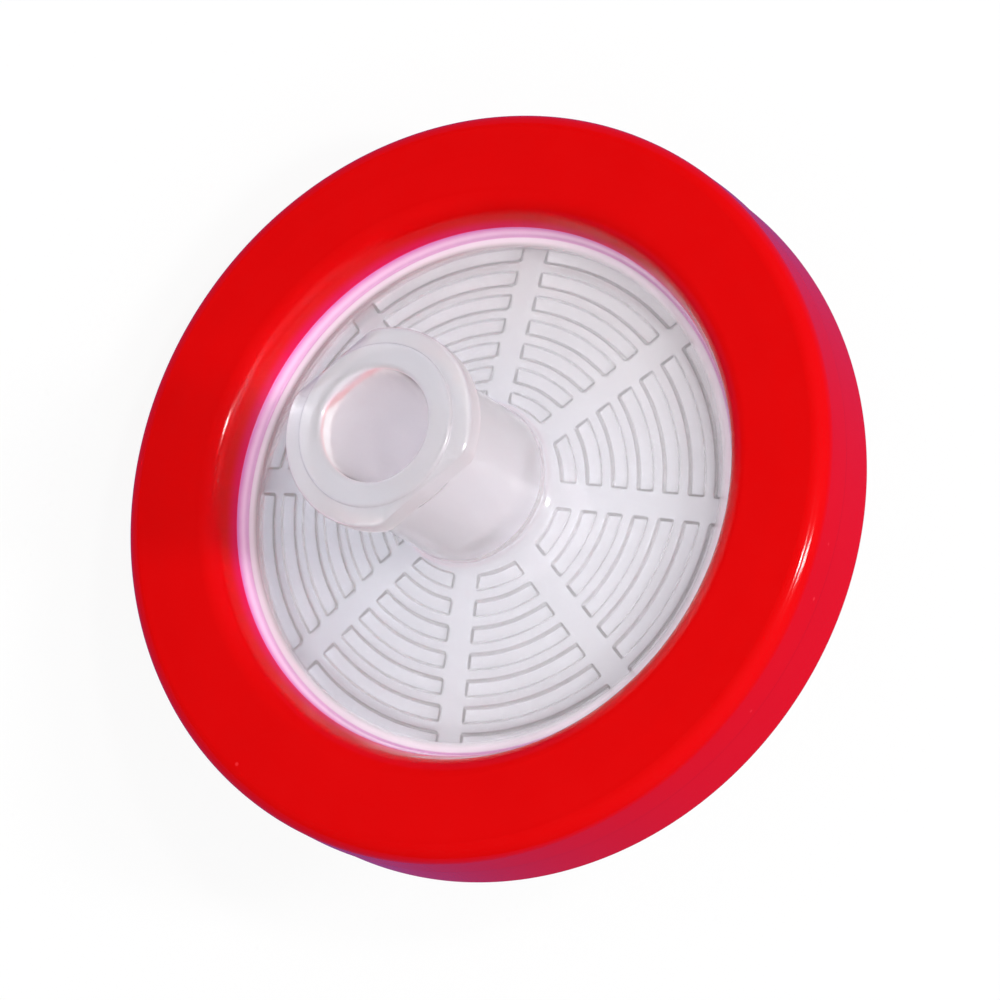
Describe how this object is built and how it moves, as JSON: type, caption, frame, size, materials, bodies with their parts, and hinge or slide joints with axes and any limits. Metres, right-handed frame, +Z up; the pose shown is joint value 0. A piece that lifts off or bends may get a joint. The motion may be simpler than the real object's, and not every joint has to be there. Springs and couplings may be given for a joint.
{
  "type": "syringe filter",
  "caption": "Disposable syringe filter lying on a bench: translucent housing halves with a luer lock inlet and a luer slip outlet, a clamped membrane and a moulded red ring.",
  "frame": {"origin": "centre of the bounding box's bottom, on the bench that the filter lies on", "axes": "+Z up from the bench; the filter's own axis lies in the YZ plane and leans 37.7 degrees from +Z towards -Y, so the inlet socket faces up and to the front; +X runs across the ring"},
  "size_m": [0.03, 0.026, 0.0214],
  "materials": {
    "housing": "moulded translucent natural polypropylene, glossy with a milky body",
    "membrane": "matt white porous polymer sheet",
    "ring": "moulded red polypropylene, semi gloss with soft highlights"
  },
  "bodies": {
    "root": {"inlet_housing": "housing", "outlet_housing": "housing", "membrane": "membrane", "ring": "ring"}
  },
  "joints": []
}
